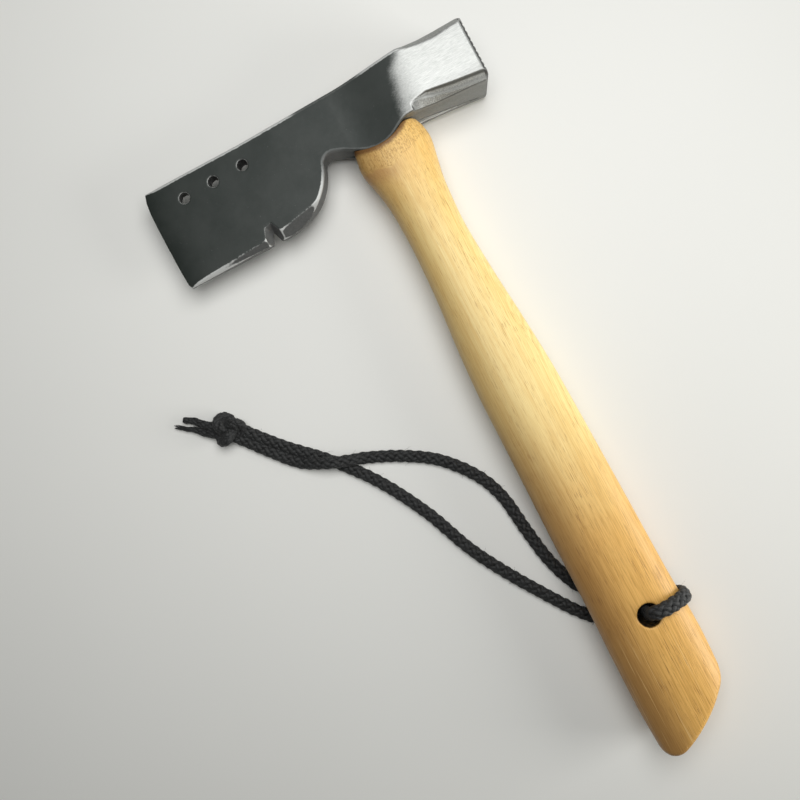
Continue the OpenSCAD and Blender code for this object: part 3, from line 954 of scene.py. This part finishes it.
def shoulder_colour(m, colour):
    """A pitted band round the shoulder, with browner wood and painted shade below it on the left and
    a painted shadow where it meets the steel, and its pits.
    """
    # the band's lower edge is an uneven V
    bend = m.times(m.math("ABSOLUTE", m.plus(m.x, 5.0)), -0.35)
    edge = m.plus(m.y, bend, m.sway(3.0, m.noise(0.3, 3, 0.6)))
    band = m.ramp(edge, -17.0, -15.8)
    pits = m.times(m.ramp(m.noise(1.5, 3, 0.65, (1, 1.6, 1)), 0.48, 0.62), band)
    colour = m.mix(m.times(pits, 0.55), colour, (0.36, 0.18, 0.045))
    # below the band on the left: browner wood with painted shade
    below = m.times(m.ramp(edge, -25, -17), m.rest(band), m.ramp(m.x, 4, -10))
    colour = m.mix(m.times(below, 0.5), colour, (0.40, 0.20, 0.08))
    # painted shadow along the line where the wood meets the steel
    from_lobe = m.plus(m.distance_from(LOBE_AT), m.times(m.noise(0.6, 3, 0.6), 1.4))
    shadow_at_steel = m.times(m.ramp(from_lobe, LOBE_R + 4.0, LOBE_R + 1.9), 0.9)
    return m.mix(shadow_at_steel, colour, (0.16, 0.07, 0.02)), pits


def hickory_material():
    m = Shader("lacquered_hickory")
    colour, fibre, pores = wood_base(m, (0.96, 0.76, 0.33), (0.82, 0.56, 0.19), (0.46, 0.24, 0.07))
    colour = grip_colour(m, colour, fibre, pores)
    colour, pits = shoulder_colour(m, colour)
    # painted shade: the lanyard hole is painted near black inside and at its rim
    from_hole = m.plus(m.distance_from(HOLE_AT), m.times(m.noise(0.9, 2, 0.5), 0.5))
    hole_shade = m.ramp(from_hole, HOLE_R + 0.65, HOLE_R + 0.2)
    colour = m.mix(hole_shade, colour, (0.02, 0.012, 0.006))
    # bare wood in the eye
    colour = m.mix(m.ramp(m.y, 1, 3), colour, (0.45, 0.28, 0.12))
    m.set("Base Color", colour)
    m.set("Roughness", m.blend(fibre, 0.42, 0.58))
    m.set("Specular IOR Level", 0.4)
    m.set("Coat Weight", 0.08)
    m.set("Coat Roughness", 0.25)
    m.bump(m.math("SUBTRACT", m.times(fibre, 0.5), m.plus(pores, pits)), 0.35, 0.08)
    return m.material


def wedge_wood_material():
    m = Shader("wedge_wood")
    colour, fibre, _ = wood_base(m, (0.66, 0.47, 0.25), (0.5, 0.32, 0.15), (0.28, 0.16, 0.07))
    m.set("Base Color", colour)
    m.set("Roughness", m.blend(fibre, 0.6, 0.8))
    m.bump(fibre, 0.4, 0.1)
    return m.material


def wedge_steel_material():
    m = Shader("wedge_steel")
    mottled = m.noise(0.9, 4, 0.65)
    m.set("Metallic", 1.0)
    m.set("Base Color", m.mix(mottled, (0.28, 0.28, 0.29), (0.55, 0.55, 0.55)))
    m.set("Roughness", m.blend(mottled, 0.35, 0.6))
    m.bump(mottled, 0.4, 0.15)
    return m.material


def cord_material():
    m = Shader("black_braid")
    yarn = m.noise(4.0, 3, 0.6)
    worn = m.noise(0.3, 3, 0.5)
    tone = m.ramp(m.plus(m.times(yarn, 0.7), m.times(worn, 0.3)), 0.38, 0.72)
    m.set("Base Color", m.mix(tone, (0.004, 0.004, 0.004), (0.028, 0.030, 0.030)))
    m.set("Roughness", m.blend(worn, 0.5, 0.7))
    m.set("Sheen Weight", 0.06)
    m.bump(yarn, 0.7, 0.18)
    return m.material


def table_material():
    m = Shader("pale_table")
    m.set("Base Color", m.mix(m.noise(0.01, 2, 0.5), (0.80, 0.80, 0.765), (0.82, 0.82, 0.785)))
    m.set("Roughness", 0.55)
    return m.material


def dress_wedges():
    """The wedges keep their CAD shape and get materials of their own."""
    for node, material in (
        ("wooden_wedge", wedge_wood_material()),
        ("steel_wedges", wedge_steel_material()),
    ):
        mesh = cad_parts[node].data
        mesh.materials.clear()
        mesh.materials.append(material)


# ---------------------------------------------------------------- surroundings
def make_table():
    reach = 3.0
    corners = [(-reach, -reach, 0), (reach, -reach, 0), (reach, reach, 0), (-reach, reach, 0)]
    mesh = bpy.data.meshes.new("table")
    mesh.from_pydata(corners, [], [(0, 1, 2, 3)])
    mesh.materials.append(table_material())
    table = bpy.data.objects.new("table", mesh)
    bpy.context.scene.collection.objects.link(table)


def area_light(name, place, target, size, watts, colour=(1, 1, 1)):
    data = bpy.data.lights.new(name, "AREA")
    data.shape = "SQUARE"
    data.size = size
    data.energy = watts
    data.color = colour
    light = bpy.data.objects.new(name, data)
    bpy.context.scene.collection.objects.link(light)
    light.location = place
    light.rotation_mode = "QUATERNION"
    light.rotation_quaternion = (Vector(target) - Vector(place)).to_track_quat("-Z", "Y")


def make_lights():
    """A softbox above the head and a window to the right, in a dim room."""
    world = bpy.data.worlds.new("studio")
    world.use_nodes = True
    room = world.node_tree.nodes["Background"]
    room.inputs["Color"].default_value = (0.93, 0.95, 0.92, 1)
    room.inputs["Strength"].default_value = 0.1
    bpy.context.scene.world = world
    bpy.context.scene.view_settings.view_transform = "Standard"
    area_light("softbox", (0.09, 0.18, 0.52), (-0.06, 0.27, 0), 0.45, 2.7)
    area_light("window", (0.55, -0.3, 0.17), (0.03, 0, 0), 0.35, 2.9, (1.0, 0.995, 0.97))


make_camera()
make_lanyard(cord_material())
make_head(steel_material())
make_handle(hickory_material())
dress_wedges()
make_table()
make_lights()
